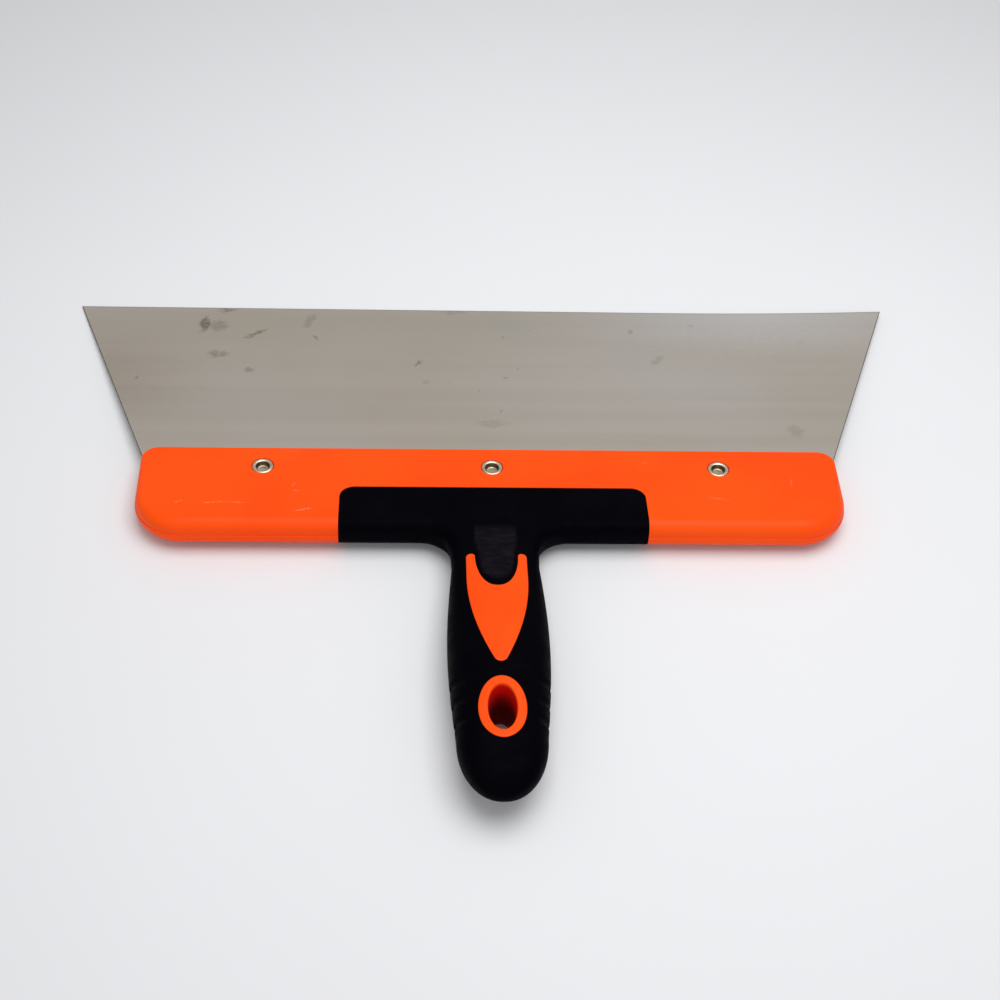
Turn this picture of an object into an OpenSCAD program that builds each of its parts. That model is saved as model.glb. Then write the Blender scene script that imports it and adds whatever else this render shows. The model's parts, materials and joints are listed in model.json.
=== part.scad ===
// Flexible putty knife: a wide, thin steel blade riveted into the slotted bar of a two-shot handle.
// It is modelled as it lies on a table, resting on its working edge and on the belly of its handle.
// Shapes are drawn in the tool's own frame: X along the bar, Y forward to the working edge, Z up
// from the blade's mid-plane, with zero at the middle of the bar's front lip. lying() puts it down.

/* [Blade] */
// Length of the working edge
blade_edge = 350; // [300:5:400]
// How far the working edge stands in front of the bar
blade_reach = 92.5; // [70:0.5:110]
// Thickness of the steel sheet
blade_t = 0.6; // [0.4:0.1:1.2]
// Length of the tang inside the bar
tang_depth = 21; // [19:0.5:22]

/* [Bar] */
// Length of the bar
bar_len = 276.4; // [220:0.4:330]
// Depth of the bar, from its front lip to its rear edge
bar_depth = 47; // [40:0.5:60]
// Thickness of the bar at its front lip
lip_t = 6.6; // [5.5:0.1:9]
// Thickness that the wedge of the bar reaches at its rear edge
rear_t = 12.4; // [11.4:0.1:16]
// Radius of the front corners, seen from above
bar_front_r = 7; // [2:0.1:8]
// Radius of the rear corners, seen from above
bar_rear_r = 19; // [6:0.5:20]
// Rounding along the front lip
lip_r = 0.8; // [0.3:0.1:1.5]
// Rounding along the rear edge
roll_r = 5; // [2:0.1:5.2]

/* [Rivets] */
// Distance from the middle rivet to the outer ones
rivet_pitch = 90; // [66:1:100]
// Distance of the rivet line behind the front lip
rivet_back = 11.9; // [8:0.1:14]
// Diameter of the shank
shank_d = 6.4; // [5.6:0.1:7]
// Diameter of the rolled rim
rim_d = 8.4; // [7.8:0.1:9.4]
// Thickness of the rolled rim
rim_t = 1; // [0.6:0.1:1.4]
// Diameter of the bore inside the rim
bore_d = 5.4; // [4.6:0.1:5.6]
// Diameter at the bottom of the tapered bore
bore_end_d = 4.4; // [3:0.1:4.5]
// Depth of the tapered bore
bore_depth = 2.5; // [1.5:0.1:3.5]
// Diameter of the factory head underneath
head_d = 9.4; // [8:0.1:11]
// Thickness of the factory head
head_t = 1.2; // [0.8:0.1:1.6]
// Gap round a rim or a head in its counterbore
seat_gap = 0.3; // [0.1:0.05:0.6]

/* [Grip] */
// Length of the black sleeve along the bar
tee_len = 118.8; // [80:0.4:160]
// Depth of bar left bare in front of the sleeve
tee_front = 24.2; // [23:0.2:30]
// Radius of the sleeve's front corners
tee_r = 5.8; // [1:0.1:8]
// Thickness of the soft skin over the bar
skin_t = 2; // [1.2:0.1:2.4]
// Length of the handle behind the bar
handle_len = 122; // [100:1:150]
// Width of the neck
neck_w = 32.8; // [30:0.2:36]
// Radius of the fillets between the bar and the neck
neck_r = 13; // [6:0.5:16]
// Width of the palm swell
palm_w = 37; // [36:0.2:44]
// Thickness of the palm swell
palm_t = 24; // [20:0.2:28]
// Width where the rounded end begins
end_w = 31.8; // [30:0.2:36]
// Thickness where the rounded end begins
end_t = 19.2; // [18:0.2:24]
// Length of the rounded end
end_len = 24; // [14:0.5:26]
// Squareness of the handle's section, where 2 is an ellipse
section_n = 2.4; // [2:0.1:3]

/* [Inlay] */
// Width of the core's tongue inside the handle
tongue_w = 20; // [16:0.5:21]
// Thickness of the tongue
tongue_t = 7; // [5:0.5:7.5]
// Width of the inlay
inlay_w = 22.8; // [20:0.2:24]
// Length of the inlay's parallel part, from its horns to where its sides curve in
inlay_straight = 11; // [8:0.5:16]
// Radius of the two curved sides
inlay_side_r = 97; // [80:1:110]
// Radius of the tip
inlay_tip_r = 2.6; // [1.5:0.1:3.5]
// Distance from the bar to the ends of the horns
inlay_gap = 16.5; // [15:0.5:22]
// Width of one horn
horn_w = 3.5; // [2.6:0.1:4.5]
// Radius at the bottom of the notch between the horns
notch_r = 5.6; // [4:0.1:6]

/* [Hang hole] */
// Length of the hole
hole_len = 18.8; // [14:0.2:22]
// Width of the hole
hole_w = 10.2; // [8:0.2:13]
// Wall of the tube round the hole
ring_t = 3.4; // [1.5:0.1:4]
// Distance from the middle of the hole to the end of the handle
hole_back = 31.5; // [28:0.5:34]

/* [Grooves] */
// Grooves on each side of the handle
groove_count = 3; // [2:1:5]
// Radius of one groove
groove_r = 1.2; // [0.6:0.1:1.6]
// Depth of one groove in the side of the handle
groove_depth = 0.7; // [0.3:0.1:1]
// Distance between two grooves
groove_pitch = 8.2; // [5:0.2:10]
// Distance from the bar to the first groove
groove_first = 75.5; // [60:0.5:80]
// How far the grooves lean back as they rise
groove_slant = 15; // [0:5:45]

/* [Hidden] */
$fn = 48;
far = 60;                                             // wider than any section of the handle

// Bar and blade
wedge = atan((rear_t - lip_t) / 2 / bar_depth);       // slope of the bar's two faces
side_run = (blade_edge - bar_len) / 2;                // how far a side edge leans outwards
side_slope = side_run / (blade_reach + bar_front_r / 2);  // it enters the bar half-way round its corner
hole_play = 0.1;                                      // shank in its holes
function face_z(y) = lip_t / 2 - y * tan(wedge);      // height of the bar's upper face
function blade_half(y) = blade_edge / 2 - (blade_reach - y) * side_slope;

// Rivets: the seats are level, and the lower side of the rim stands level with the sloping face
seat_z = face_z(-rivet_back) - rim_t;                 // floor of a counterbore, from the mid-plane
rim_seat_r = rim_d / 2 + seat_gap;
head_seat_r = head_d / 2 + seat_gap;

// Stations of the handle
handle_from = -bar_depth + roll_r - 1;                // the handle's root, inside the bar
handle_end = -bar_depth - handle_len;
end_from = handle_end + end_len;
neck_at = -bar_depth - 1 - neck_r;
palm_at = (neck_at + end_from) / 2;
hole_at = handle_end + hole_back;
root_t = 2 * face_z(handle_from) - 0.2;               // the root stays under the sleeve's skin
flare_steps = 6;
body_steps = 16;
end_steps = 9;
section_sides = 40;

function part_way(y, from, to) = (from - y) / (from - to);
function neck_flare(y) = y <= neck_at ? 0
    : neck_r - sqrt(max(neck_r * neck_r - pow(min(y - neck_at, neck_r), 2), 0));
function swell(y, from, root, palm, tail) =
    y > palm_at ? root + (palm - root) * sin(90 * max(part_way(y, from, palm_at), 0))
    : y > end_from ? tail + (palm - tail) * cos(90 * part_way(y, palm_at, end_from))
    : tail * sqrt(1 - pow((end_from - y) / end_len, 2));
function half_w(y) = neck_flare(y) + swell(y, neck_at, neck_w, palm_w, end_w) / 2;
function half_t(y) = swell(y, handle_from, root_t, palm_t, end_t) / 2;

stations = concat(
    [handle_from, (handle_from - bar_depth) / 2],
    [for (i = [0 : flare_steps]) neck_at + neck_r * cos(90 * i / flare_steps)],
    [for (i = [1 : body_steps]) neck_at + (end_from - neck_at) * i / body_steps],
    [for (i = [1 : end_steps]) end_from - end_len * sin(88 * i / end_steps)]
);

// Resting: a line from the edge's lower corner touches the belly at its steepest station
lie = max([for (y = stations) atan((half_t(y) - blade_t / 2) / (blade_reach - y))]);
lie_up = blade_reach * sin(lie) + blade_t / 2 * cos(lie);
box_front = blade_reach * cos(lie) + blade_t / 2 * sin(lie);
box_rear = min([for (y = stations) y * cos(lie) - half_t(y) * sin(lie)]);

// Puts the tool on the table, with the origin under the middle of its box
module lying()
    translate([0, -(box_front + box_rear) / 2, lie_up]) rotate([-lie, 0, 0]) children();

// Extrudes a profile drawn as (y, z) along X, centred
module along_x(length)
    rotate([90, 0, 90]) linear_extrude(length, center = true) children();

// Extrudes a plan through the whole tool
module through()
    linear_extrude(2 * far, center = true) children();

// ---- Bar ----

// Upper half of the bar's profile with round edges, set in by a wall on every side but the front
module half_profile(inset) {
    r = max(roll_r - inset, 0.6);
    rear_y = inset - bar_depth + r;
    rear_z = face_z(rear_y) - (inset + r) / cos(wedge);
    lip_y = -lip_r;
    lip_z = face_z(lip_y) - (inset + lip_r) / cos(wedge);
    polygon([
        [0, 0], [0, lip_z],
        [lip_y + lip_r * sin(wedge), lip_z + lip_r * cos(wedge)],
        [rear_y + r * sin(wedge), rear_z + r * cos(wedge)],
        [rear_y, rear_z], [rear_y - r, rear_z], [rear_y - r, 0]
    ]);
    translate([lip_y, lip_z]) circle(lip_r);
    translate([rear_y, rear_z]) circle(r);
}

module bar_profile(inset = 0) {
    half_profile(inset);
    mirror([0, 1]) half_profile(inset);
}

// A plan from y = front back to y = rear, with one corner radius in front and one behind
module rounded_plan(length, front, rear, front_r, rear_r) {
    half = length / 2;
    translate([-half, rear + rear_r]) square([length, front - rear - front_r - rear_r]);
    translate([front_r - half, front - 2 * front_r]) square([length - 2 * front_r, 2 * front_r]);
    translate([rear_r - half, rear]) square([length - 2 * rear_r, 2 * rear_r]);
    for (side = [-1, 1]) {
        translate([side * (half - front_r), front - front_r]) circle(front_r);
        translate([side * (half - rear_r), rear + rear_r]) circle(rear_r);
    }
}

module bar_block()
    intersection() {
        along_x(bar_len) bar_profile();
        through() rounded_plan(bar_len, 0, -bar_depth, bar_front_r, bar_rear_r);
    }

// The sleeve's plan runs off the rear of the bar
module tee_prism()
    through() rounded_plan(tee_len, -tee_front, -bar_depth - 2 * tee_r, tee_r, tee_r);

// What is left of the bar under the sleeve
module bar_inside_sleeve()
    intersection() {
        along_x(tee_len) bar_profile(skin_t);
        tee_prism();
    }

// ---- Handle ----

function signed_pow(v, p) = sign(v) * pow(abs(v), p);
function section(y) = [for (i = [0 : section_sides - 1]) let (a = 360 * i / section_sides)
    [half_w(y) * signed_pow(cos(a), 2 / section_n), y, half_t(y) * signed_pow(sin(a), 2 / section_n)]];

module handle_outside() {
    last = len(stations) - 1;
    polyhedron(
        points = [for (y = stations) each section(y)],
        faces = concat(
            [[for (i = [0 : section_sides - 1]) i]],
            [for (k = [0 : last - 1], i = [0 : section_sides - 1])
                let (j = (i + 1) % section_sides, a = k * section_sides, b = a + section_sides)
                each [[a + i, b + i, b + j], [a + i, b + j, a + j]]],
            [[for (i = [section_sides - 1 : -1 : 0]) last * section_sides + i]]
        )
    );
}

function oval(half_x, half_y) = [for (a = [0 : 7.5 : 359]) [half_x * cos(a), half_y * sin(a)]];

module hole_prism()
    translate([0, hole_at]) through() polygon(oval(hole_w / 2, hole_len / 2));

module ring_prism()
    translate([0, hole_at]) through() polygon(oval(hole_w / 2 + ring_t, hole_len / 2 + ring_t));

// The inlay's plan: two horns, a notch between them, parallel sides that curve in to a round tip
module inlay_plan() {
    half = inlay_w / 2;
    horn_r = horn_w / 2;
    horn_y = -bar_depth - inlay_gap - horn_r;
    curve_y = horn_y - inlay_straight;
    curve_x = inlay_side_r - half;
    tip_y = curve_y - sqrt(pow(inlay_side_r - inlay_tip_r, 2) - pow(curve_x, 2));
    tangent_y = tip_y - inlay_tip_r * (curve_y - tip_y) / (inlay_side_r - inlay_tip_r);
    difference() {
        union() {
            intersection() {
                translate([curve_x, curve_y]) circle(inlay_side_r);
                translate([-curve_x, curve_y]) circle(inlay_side_r);
                translate([-half, tangent_y]) square([inlay_w, curve_y - tangent_y]);
            }
            translate([-half, curve_y]) square([inlay_w, horn_y - curve_y]);
            translate([0, tip_y]) circle(inlay_tip_r);
            for (side = [-1, 1]) translate([side * (half - horn_r), horn_y]) circle(horn_r);
        }
        translate([0, curve_y]) circle(notch_r);
        polygon([
            [-notch_r, curve_y], [-half + horn_w, horn_y], [-half + horn_w, horn_y + horn_w],
            [half - horn_w, horn_y + horn_w], [half - horn_w, horn_y], [notch_r, curve_y]
        ]);
    }
}

// The inlay stands on the tongue and comes out through the upper side only
module inlay_prism()
    linear_extrude(far) inlay_plan();

// The tongue runs from the bar to the far side of the hang hole's tube
module tongue() {
    rear = hole_at - hole_len / 2 + tongue_w / 4;
    linear_extrude(tongue_t, center = true) {
        translate([-tongue_w / 2, rear]) square([tongue_w, -bar_depth + skin_t + roll_r - rear]);
        translate([0, rear]) circle(tongue_w / 2);
    }
}

module side_grooves()
    for (side = [-1, 1], i = [0 : groove_count - 1]) {
        y = -bar_depth - groove_first - i * groove_pitch;
        translate([side * (half_w(y) - groove_depth + groove_r), y, 0])
            rotate([groove_slant, 0, 0]) cylinder(h = far, r = groove_r, center = true);
    }

// ---- Rivets ----

module at_rivet(place)
    translate([place * rivet_pitch, -rivet_back, 0]) children();

// Holes and counterbores of one rivet in the bar
module rivet_seat() {
    cylinder(h = far, d = shank_d + hole_play, center = true);
    translate([0, 0, seat_z]) cylinder(h = far, r = rim_seat_r);
    translate([0, 0, -seat_z - far]) cylinder(h = far, r = head_seat_r);
}

// One semi-tubular rivet: rolled rim and tapered blind bore on top, factory head underneath
module rivet(place)
    color("silver") lying() at_rivet(place) rotate_extrude() difference() {
        union() {
            translate([0, -seat_z]) square([shank_d / 2, 2 * seat_z + rim_t / 2]);
            translate([bore_d / 2, seat_z]) square([rim_d / 2 - rim_t / 2 - bore_d / 2, rim_t]);
            translate([rim_d / 2 - rim_t / 2, seat_z + rim_t / 2]) circle(rim_t / 2);
            translate([0, -seat_z - head_t]) square([head_d / 2, head_t]);
        }
        polygon([
            [0, seat_z + rim_t - bore_depth], [bore_end_d / 2, seat_z + rim_t - bore_depth],
            [bore_d / 2, seat_z + rim_t], [0, seat_z + rim_t]
        ]);
    }

// ---- The pieces ----

module blade()
    color("silver") lying() difference() {
        linear_extrude(blade_t, center = true) polygon([
            [-blade_edge / 2, blade_reach], [blade_edge / 2, blade_reach],
            [blade_half(-tang_depth), -tang_depth], [-blade_half(-tang_depth), -tang_depth]
        ]);
        for (place = [-1 : 1]) at_rivet(place) cylinder(h = far, d = shank_d + hole_play, center = true);
    }

// The slot follows the tang, and is open where the blade leaves the bar
module blade_slot()
    linear_extrude(blade_t, center = true) polygon([
        [-blade_half(1), 1], [blade_half(1), 1],
        [blade_half(-tang_depth), -tang_depth], [-blade_half(-tang_depth), -tang_depth]
    ]);

module handle_core()
    color("orangered") lying() difference() {
        union() {
            difference() {
                bar_block();
                tee_prism();
            }
            bar_inside_sleeve();
            tongue();
            intersection() {
                handle_outside();
                union() {
                    inlay_prism();
                    ring_prism();
                }
            }
        }
        blade_slot();
        hole_prism();
        for (place = [-1 : 1]) at_rivet(place) rivet_seat();
    }

module grip()
    color([0.06, 0.06, 0.07]) lying() difference() {
        union() {
            intersection() {
                bar_block();
                tee_prism();
            }
            handle_outside();
        }
        bar_inside_sleeve();
        tongue();
        inlay_prism();
        ring_prism();
        side_grooves();
    }

blade();
handle_core();
grip();
rivet(-1);  // rivet_left
rivet(0);  // rivet_centre
rivet(1);  // rivet_right
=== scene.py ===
import json
import math

import bpy
import numpy as np
from mathutils import Matrix, Vector
from mathutils.geometry import delaunay_2d_cdt


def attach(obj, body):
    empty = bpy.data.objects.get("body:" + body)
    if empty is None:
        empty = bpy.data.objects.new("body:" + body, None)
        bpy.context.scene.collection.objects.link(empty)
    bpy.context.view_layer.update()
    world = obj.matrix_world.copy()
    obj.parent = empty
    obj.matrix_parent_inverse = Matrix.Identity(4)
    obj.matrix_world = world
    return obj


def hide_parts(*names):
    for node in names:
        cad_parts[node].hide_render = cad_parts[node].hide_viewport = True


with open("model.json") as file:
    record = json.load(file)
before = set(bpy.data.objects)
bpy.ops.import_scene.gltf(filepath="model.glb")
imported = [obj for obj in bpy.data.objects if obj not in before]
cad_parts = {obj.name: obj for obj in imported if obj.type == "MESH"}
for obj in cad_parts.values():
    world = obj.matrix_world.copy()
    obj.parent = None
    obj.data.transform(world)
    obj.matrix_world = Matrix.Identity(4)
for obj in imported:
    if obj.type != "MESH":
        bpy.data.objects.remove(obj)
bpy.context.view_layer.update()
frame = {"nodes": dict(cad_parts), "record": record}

# Flexible putty knife. Meshes are made in the tool's own frame, in millimetres: X along the bar,
# Y forward to the working edge, Z up from the blade's mid-plane, with zero at the middle of the
# bar's front lip. to_row() lays them down on the table, where the CAD pieces lie.

MM = 0.001
MOUNTS = {m["name"]: m for m in frame["record"]["mounts"]}
TOOL_X = np.array([1.0, 0.0, 0.0])
TOOL_Z = np.array(MOUNTS["hang_hole"]["axis"], float)
TOOL_Y = np.cross(TOOL_Z, TOOL_X)
AXES = np.stack([TOOL_X, TOOL_Y, TOOL_Z])


def cad_points(node):
    """Vertices of a CAD node along the tool's axes, in millimetres."""
    co = np.empty(len(frame["nodes"][node].data.vertices) * 3, np.float32)
    frame["nodes"][node].data.vertices.foreach_get("co", co)
    return co.reshape(-1, 3).astype(float) @ AXES.T / MM


BLADE_CAD = cad_points("blade")
CORE_CAD = cad_points("handle_core")
GRIP_CAD = cad_points("grip")
LIP = np.array([0.0, CORE_CAD[:, 1].max(), (BLADE_CAD[:, 2].min() + BLADE_CAD[:, 2].max()) / 2])
BLADE_CAD, CORE_CAD, GRIP_CAD = BLADE_CAD - LIP, CORE_CAD - LIP, GRIP_CAD - LIP


def to_row(points):
    """Tool frame in millimetres to row frame in metres."""
    return (np.asarray(points, float) + LIP) @ AXES * MM


def to_tool(place):
    """A mount's place in the tool frame, in millimetres."""
    return np.array(place, float) @ AXES.T / MM - LIP


# ---- Sizes, in millimetres ----

# Blade
BLADE_HALF = BLADE_CAD[:, 0].max()
BLADE_REACH = BLADE_CAD[:, 1].max()
TANG = -BLADE_CAD[:, 1].min()
TANG_HALF = BLADE_CAD[BLADE_CAD[:, 1] < 0.01 - TANG, 0].max()
BLADE_T = np.ptp(BLADE_CAD[:, 2])
BLADE_BEVEL, BLADE_LAND = 0.1, 0.3           # broken edge, and the band inside it, which the shader darkens
LAND_FADE = 0.07                            # the darker band fades over this
SPRING_FROM, SPRING_LIFT = 80.0, 2.3        # the free corner on the right springs up a little
SLOT_PLAY, SLOT_END_PLAY = 0.12, 0.2        # round the sheet and behind the tang in the bar

# Bar
TEE_HALF = GRIP_CAD[:, 0].max()
TEE_FRONT = -GRIP_CAD[:, 1].max()
BAR_HALF = CORE_CAD[:, 0].max()
BAR_DEPTH = -CORE_CAD[np.abs(CORE_CAD[:, 0]) > TEE_HALF + 1, 1].min()
FACE_AXIS = AXES @ np.array(MOUNTS["bar_face"]["axis"], float)
FACE_AT = to_tool(MOUNTS["bar_face"]["pos_m"])
WEDGE = math.atan2(FACE_AXIS[1], FACE_AXIS[2])
FACE_Z0 = FACE_AT[2] + FACE_AT[1] * math.tan(WEDGE)
FRONT_R, REAR_R, TEE_R = 7.0, 19.0, 5.8
LIP_R, ROLL_R = 0.9, 5.0                    # rounding of the edges, from the lip to the rear
LEDGE = 0.35                                # the lower half stands out by this at the parting line
PARTING = ((LEDGE, 0.02), (0.12, 0.0), (0.03, -0.05), (0.0, -0.16))   # inset and height

# Tee
TEE_PROUD, TEE_GAP, TEE_EDGE_R = 0.05, 0.05, 0.35   # over the bar's face, round the notch, its edge

# Handle
HANDLE_END = GRIP_CAD[:, 1].min()
END_LEN = 24.0
END_FROM = HANDLE_END + END_LEN
NECK_W, NECK_R = 32.3, 13.0
NECK_SINK, NECK_TAPER = 0.4, 0.35            # the tee's neck hides inside the handle
PALM_W, PALM_T = 37.0, 24.0
END_W, END_T = 31.8, 19.2
SQUARENESS = 2.4
NECK_AT = -BAR_DEPTH - 1 - NECK_R
PALM_AT = (NECK_AT + END_FROM) / 2
ROOT_AT = -BAR_DEPTH + 4
ROOT_SINK, ROOT_DIVE, ROOT_LEN = 0.2, 0.32, 12.0    # the handle's root sinks away inside the tee
JOIN_R = 2.6                                # fillet between tee and handle
GROOVES, GROOVE_FIRST, GROOVE_PITCH = 3, -BAR_DEPTH - 75.5, 8.2
GROOVE_DEPTH, GROOVE_HALF, GROOVE_LEAN = 1.1, 2.1, math.tan(math.radians(15))
GROOVE_FADE = (11.0, 15.5)                  # they run out on the top between these

# Inlay
INLAY_HALF, HORN_W, NOTCH_R, INLAY_TIP_R, INLAY_SIDE_R = 11.4, 3.5, 5.6, 2.6, 97.0
NOTCH_BEND = (0.87, 1.05)                   # how full the notch's sides and end are
HORN_Y = -BAR_DEPTH - 16.5 - HORN_W / 2
CURVE_Y = HORN_Y - 11.0
PROUD = 0.15                                # the inlay and the ring stand above the skin

# Thumb pad
PAD_FROM, PAD_TO = -BAR_DEPTH - 2, CURVE_Y - NOTCH_R + 2.6
PAD_DEPTH, PAD_GAP, PAD_TAPER, PAD_FLARE = 0.45, 1.3, 0.13, 1.2
PAD_FLARE_LEN, PAD_TAPER_LEN = 10.0, 20.0
PAD_EDGE, PAD_END = 0.7, 3.0                # half widths of its soft side and soft front

# Hang hole
HOLE_Y = to_tool(MOUNTS["hang_hole"]["pos_m"])[1]
HOLE_HALF = np.array([5.1, 9.4])
RING_T = 3.4
UNDER_RING = RING_T * 0.6                   # the grip's opening lies under the ring
HOLE_TOP, HOLE_DRAFT = 11.0, 0.6             # the hole narrows by this towards the underside

# Rivets
RIVETS = ("rivet_left", "rivet_centre", "rivet_right")
RIVET_Y, RIM_T = -11.9, 1.0
SEAT_R, HEAD_SEAT_R, BORE_R = 4.5, 5.0, 3.25


def face_z(y):
    """Height of the bar's upper face."""
    return FACE_Z0 - y * math.tan(WEDGE)


SEAT_Z = face_z(RIVET_Y) - RIM_T


def smoothstep(low, high, value):
    t = np.clip((value - low) / (high - low), 0, 1)
    return t * t * (3 - 2 * t)


# ---- Mesh tools ----

def make_object(name, points, faces, material):
    """A smooth-shaded object from points in the tool frame."""
    mesh = bpy.data.meshes.new(name)
    mesh.from_pydata(to_row(points).tolist(), [], [list(map(int, f)) for f in faces])
    mesh.update()
    mesh.materials.append(material)
    mesh.polygons.foreach_set("use_smooth", [True] * len(mesh.polygons))
    obj = bpy.data.objects.new(name, mesh)
    bpy.context.scene.collection.objects.link(obj)
    return obj


def loops_mesh(loops, close_ends=True):
    """Skins equal closed loops, each counter-clockwise seen from the first loop's side."""
    count = len(loops[0])
    faces = []
    for k in range(len(loops) - 1):
        a, b = k * count, (k + 1) * count
        for i in range(count):
            j = (i + 1) % count
            faces.append((a + i, b + i, b + j, a + j))
    if close_ends:
        faces.append(tuple(range(count)))
        faces.append(tuple(range((len(loops) - 1) * count, len(loops) * count))[::-1])
    return np.concatenate(loops), faces


def boolean(obj, cutter, operation):
    """Applies one exact boolean and removes the cutter."""
    step = obj.modifiers.new("cut", "BOOLEAN")
    step.operation, step.object, step.solver = operation, cutter, "EXACT"
    apply_modifiers(obj)
    bpy.data.objects.remove(cutter)


def apply_modifiers(obj):
    graph = bpy.context.evaluated_depsgraph_get()
    mesh = bpy.data.meshes.new_from_object(obj.evaluated_get(graph))
    obj.modifiers.clear()
    obj.data = mesh


def weigh_normals(obj, crease=math.radians(35)):
    """Keeps flat faces flat and round edges round after the cuts."""
    mesh = obj.data
    mesh.polygons.foreach_set("use_smooth", [True] * len(mesh.polygons))
    mesh.set_sharp_from_angle(angle=crease)
    step = obj.modifiers.new("normals", "WEIGHTED_NORMAL")
    step.keep_sharp = True
    step.mode = "FACE_AREA"
    apply_modifiers(obj)


def rounded_outline(half, front, rear, front_r, rear_r, spacing=4.0, turn=math.radians(5)):
    """Counter-clockwise outline of a rectangle with round corners, with its outward normals."""
    corners = [
        (half - rear_r, rear + rear_r, rear_r, -90), (half - front_r, front - front_r, front_r, 0),
        (front_r - half, front - front_r, front_r, 90), (rear_r - half, rear + rear_r, rear_r, 180),
    ]
    points, normals = [], []
    for k, (x, y, r, start) in enumerate(corners):
        steps = round(math.pi / 2 / turn)
        for i in range(steps + 1):
            a = math.radians(start) + i * turn
            points.append((x + r * math.cos(a), y + r * math.sin(a)))
            normals.append((math.cos(a), math.sin(a)))
        nx, ny, nr, nstart = corners[(k + 1) % 4]
        a = math.radians(nstart)
        last, target = points[-1], (nx + nr * math.cos(a), ny + nr * math.sin(a))
        parts = max(int(math.dist(last, target) / spacing), 1)
        for i in range(1, parts):
            points.append(tuple(p + i / parts * (q - p) for p, q in zip(last, target)))
            normals.append(normals[-1])
    return np.array(points), np.array(normals)


def prism(outline, low, high):
    """A straight block on an outline."""
    loops = [np.column_stack([outline, np.full(len(outline), z)]) for z in (high, low)]
    return loops_mesh(loops)


AXIS_R = 0.01                               # a turned profile starts and ends with this radius


def revolve(profile, centre, sides=64):
    """Turns a (radius, z) profile round an upright axis."""
    angles = np.arange(sides) * 2 * math.pi / sides
    loops = [
        np.column_stack([centre[0] + r * np.cos(angles), centre[1] + r * np.sin(angles),
                         np.full(sides, z)])
        for r, z in profile
    ]
    return loops_mesh(loops)


def surface_net(field, low, high, step):
    """A closed quad mesh where field is zero, with one vertex in each grid cell it crosses."""
    axes = [np.arange(a, b + step, step) for a, b in zip(low, high)]
    grid = np.stack(np.meshgrid(*axes, indexing="ij"), -1)
    value = field(grid.reshape(-1, 3)).reshape(grid.shape[:3])
    cells = tuple(n - 1 for n in value.shape)
    total, count = np.zeros(cells + (3,)), np.zeros(cells)
    head, tail = slice(None, -1), slice(1, None)
    crossings = []
    for axis in range(3):
        first = [slice(None)] * 3
        second = [slice(None)] * 3
        first[axis], second[axis] = head, tail
        a, b = value[tuple(first)], value[tuple(second)]
        crossed = (a < 0) != (b < 0)
        crossings.append((crossed, a < 0))
        point = grid[tuple(first)].copy()
        point[..., axis] += np.where(crossed, a / np.where(crossed, a - b, 1), 0) * step
        point *= crossed[..., None]
        others = [k for k in range(3) if k != axis]
        for one in (head, tail):
            for two in (head, tail):
                part = [slice(None)] * 3
                part[others[0]], part[others[1]] = one, two
                total += point[tuple(part)]
                count += crossed[tuple(part)]
    index = np.full(cells, -1)
    index[count > 0] = np.arange((count > 0).sum())
    points = total[count > 0] / count[count > 0][:, None]
    faces = []
    for axis, (crossed, inside) in enumerate(crossings):
        u, v = [k for k in range(3) if k != axis]
        where = np.argwhere(crossed)
        where = where[(where[:, u] > 0) & (where[:, v] > 0)
                      & (where[:, u] < cells[u]) & (where[:, v] < cells[v])]
        shift_u, shift_v = np.eye(3, dtype=int)[u], np.eye(3, dtype=int)[v]
        quad = np.stack([
            index[tuple((where - shift_u - shift_v).T)], index[tuple((where - shift_v).T)],
            index[tuple(where.T)], index[tuple((where - shift_u).T)],
        ], 1)
        outward = inside[tuple(where.T)] ^ (axis == 1)
        faces.append(np.where(outward[:, None], quad, quad[:, ::-1]))
    return points, np.concatenate(faces)


def gradient(field, points, h=0.04):
    """Slope of a field, which is the outward normal on its surface."""
    steps = np.eye(3) * h
    return np.stack([field(points + s) - field(points - s) for s in steps], 1) / (2 * h)


def onto(field, points, rounds=4):
    """Moves points onto the surface where field is zero."""
    for _ in range(rounds):
        g = gradient(field, points)
        step = field(points)[:, None] * g / np.maximum((g * g).sum(1), 0.05)[:, None]
        points = points - np.clip(step, -0.4, 0.4)
    return points


def set_normals(obj, normals):
    """Shades a mesh by normals given in the tool frame."""
    rows = normals @ AXES
    rows /= np.linalg.norm(rows, axis=1)[:, None]
    obj.data.normals_split_custom_set_from_vertices(rows.tolist())


def point_attribute(obj, name, values):
    attribute = obj.data.attributes.new(name, "FLOAT", "POINT")
    attribute.data.foreach_set("value", np.asarray(values, np.float32))


# ---- Handle and tee as one field: negative inside, in millimetres ----

def round_and(a, b, r):
    """Intersection of two fields with a round edge."""
    return np.minimum(np.maximum(a, b), -r) + np.hypot(np.maximum(a + r, 0), np.maximum(b + r, 0))


def smooth_or(a, b, k):
    """Union of two fields with a fillet."""
    h = np.maximum(k - np.abs(a - b), 0) / k
    return np.minimum(a, b) - h * h * k / 4


def swell(y, start, root, palm, tail):
    """A width that grows from the root to the palm and falls to the rounded end."""
    grow = np.sin(np.pi / 2 * np.clip((start - y) / (start - PALM_AT), 0, 1))
    fall = np.cos(np.pi / 2 * np.clip((PALM_AT - y) / (PALM_AT - END_FROM), 0, 1))
    return np.where(y > PALM_AT, root + (palm - root) * grow, tail + (palm - tail) * fall)


def handle_half_w(y):
    return swell(y, NECK_AT, NECK_W, PALM_W, END_W) / 2


def handle_half_t(y):
    root = 2 * face_z(ROOT_AT) - ROOT_SINK
    return swell(y, ROOT_AT, root, PALM_T, END_T) / 2 - ROOT_DIVE * np.maximum(y - ROOT_AT, 0)


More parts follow.
